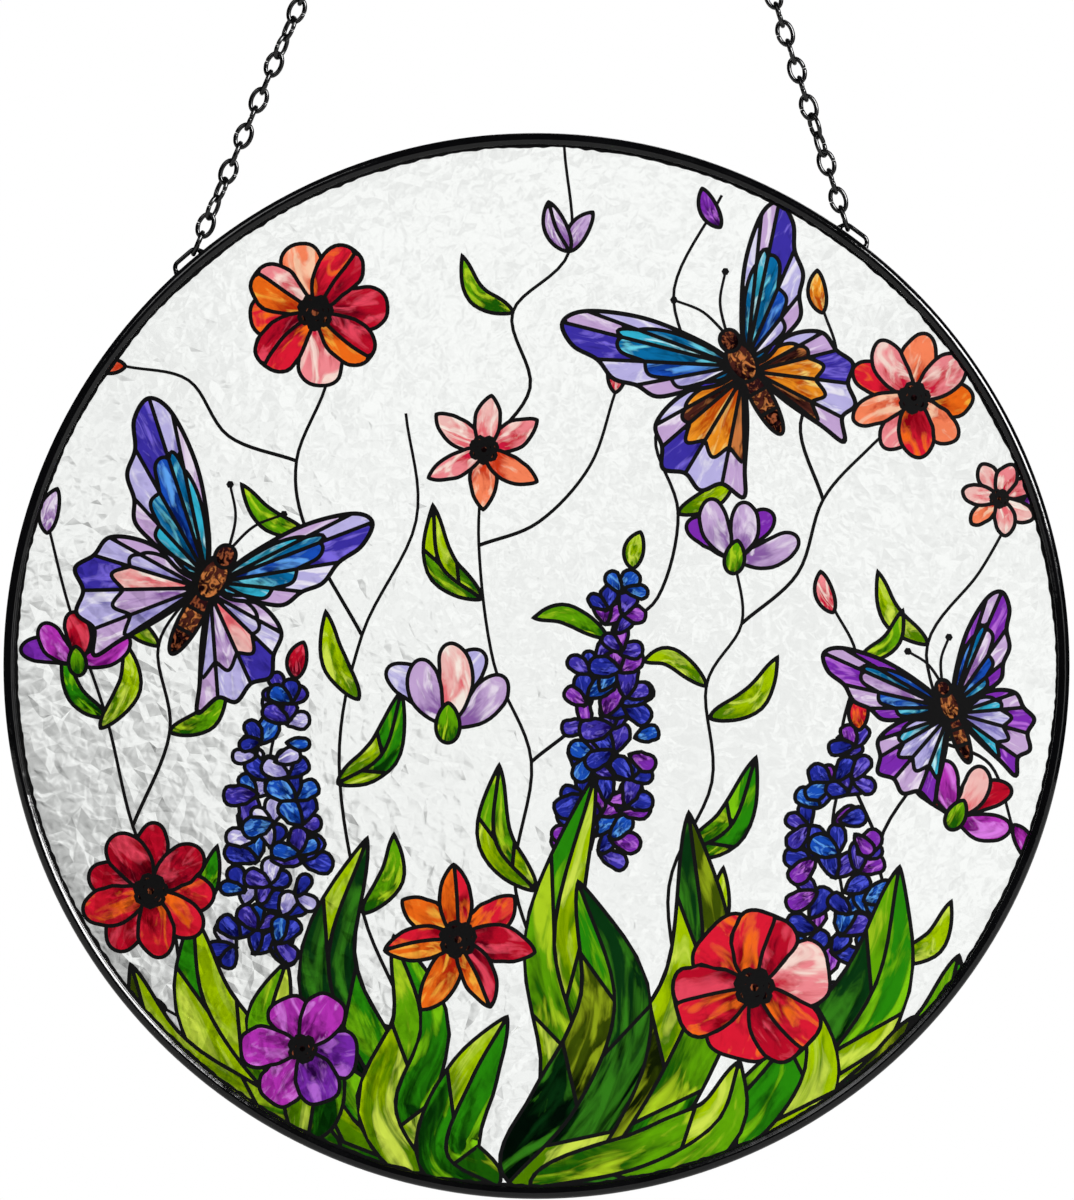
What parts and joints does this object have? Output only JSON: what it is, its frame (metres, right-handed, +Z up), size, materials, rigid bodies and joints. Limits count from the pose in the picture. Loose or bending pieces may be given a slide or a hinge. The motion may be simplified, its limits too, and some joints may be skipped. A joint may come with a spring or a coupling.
{
  "type": "acrylic suncatcher",
  "caption": "Round clear acrylic panel with a stained-glass style garden print, in a black metal channel ring, hung on an oval-link chain.",
  "frame": {"origin": "the point on the inside of the chain's top link where the hook bears", "axes": "+Z up, -Y out of the printed front face, +X to the viewer's right"},
  "size_m": [0.2, 0.005, 0.3446],
  "materials": {
    "acrylic": "clear, smooth in front and rippled behind",
    "frame_enamel": "glossy black enamel",
    "chain_steel": "glossy black lacquer on bent wire",
    "ink_black": "opaque printed lines",
    "ink_colours": "translucent printed washes in many colours"
  },
  "bodies": {
    "root": {"acrylic_panel": "acrylic", "frame": "frame_enamel", "eyelet_left": "frame_enamel", "eyelet_right": "frame_enamel", "chain_left": "chain_steel", "chain_right": "chain_steel", "top_link": "chain_steel"}
  },
  "joints": []
}
